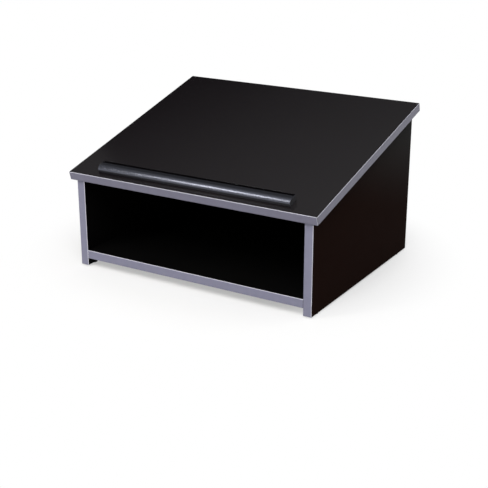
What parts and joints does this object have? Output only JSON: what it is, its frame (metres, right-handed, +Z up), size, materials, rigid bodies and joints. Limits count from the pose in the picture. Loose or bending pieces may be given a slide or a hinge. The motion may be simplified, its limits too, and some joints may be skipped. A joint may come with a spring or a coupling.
{
  "type": "tabletop lectern",
  "caption": "Tabletop lectern in black laminate with silver edge bands: a sloped reading top with a book stop over an open-fronted storage compartment.",
  "frame": {"origin": "on the table under the middle of the lectern's box, at the soles of the glides", "axes": "+X to the speaker's right, along the width; +Y to the rear, towards the audience, so the open front faces -Y; +Z up"},
  "size_m": [0.6032, 0.4892, 0.3449],
  "materials": {
    "black_laminate": "black melamine laminate on wood board, satin",
    "silver_band": "silver-grey plastic edge band, satin, rounded arrises",
    "black_plastic": "black extruded plastic, semi-gloss",
    "glide_plastic": "black moulded plastic on a steel nail",
    "plated_steel": "zinc-plated steel",
    "zinc_casting": "raw zinc die casting",
    "beech": "fluted beech dowel"
  },
  "bodies": {
    "root": {"top_panel": "black_laminate", "left_side_panel": "black_laminate", "right_side_panel": "black_laminate", "bottom_shelf": "black_laminate", "back_panel": "black_laminate", "top_front_band": "silver_band", "top_rear_band": "silver_band", "top_left_band": "silver_band", "top_right_band": "silver_band", "left_side_front_band": "silver_band", "left_side_rear_band": "silver_band", "right_side_front_band": "silver_band", "right_side_rear_band": "silver_band", "shelf_front_band": "silver_band", "book_stop": "black_plastic", "left_front_glide": "glide_plastic", "left_rear_glide": "glide_plastic", "right_front_glide": "glide_plastic", "right_rear_glide": "glide_plastic", "book_stop_screw_1": "plated_steel", "book_stop_screw_2": "plated_steel", "book_stop_screw_3": "plated_steel", "shelf_left_front_cam": "zinc_casting", "shelf_left_rear_cam": "zinc_casting", "shelf_right_front_cam": "zinc_casting", "shelf_right_rear_cam": "zinc_casting", "back_left_lower_cam": "zinc_casting", "back_left_upper_cam": "zinc_casting", "back_right_lower_cam": "zinc_casting", "back_right_upper_cam": "zinc_casting", "top_left_front_cam": "zinc_casting", "top_left_rear_cam": "zinc_casting", "top_right_front_cam": "zinc_casting", "top_right_rear_cam": "zinc_casting", "shelf_left_front_bolt": "plated_steel", "shelf_left_rear_bolt": "plated_steel", "shelf_right_front_bolt": "plated_steel", "shelf_right_rear_bolt": "plated_steel", "back_left_lower_bolt": "plated_steel", "back_left_upper_bolt": "plated_steel", "back_right_lower_bolt": "plated_steel", "back_right_upper_bolt": "plated_steel", "top_left_front_bolt": "plated_steel", "top_left_rear_bolt": "plated_steel", "top_right_front_bolt": "plated_steel", "top_right_rear_bolt": "plated_steel", "shelf_left_front_dowel": "beech", "shelf_left_rear_dowel": "beech", "shelf_right_front_dowel": "beech", "shelf_right_rear_dowel": "beech", "back_left_lower_dowel": "beech", "back_left_upper_dowel": "beech", "back_right_lower_dowel": "beech", "back_right_upper_dowel": "beech", "top_left_front_dowel": "beech", "top_left_rear_dowel": "beech", "top_right_front_dowel": "beech", "top_right_rear_dowel": "beech", "shelf_back_left_dowel": "beech", "shelf_back_right_dowel": "beech"}
  },
  "joints": []
}
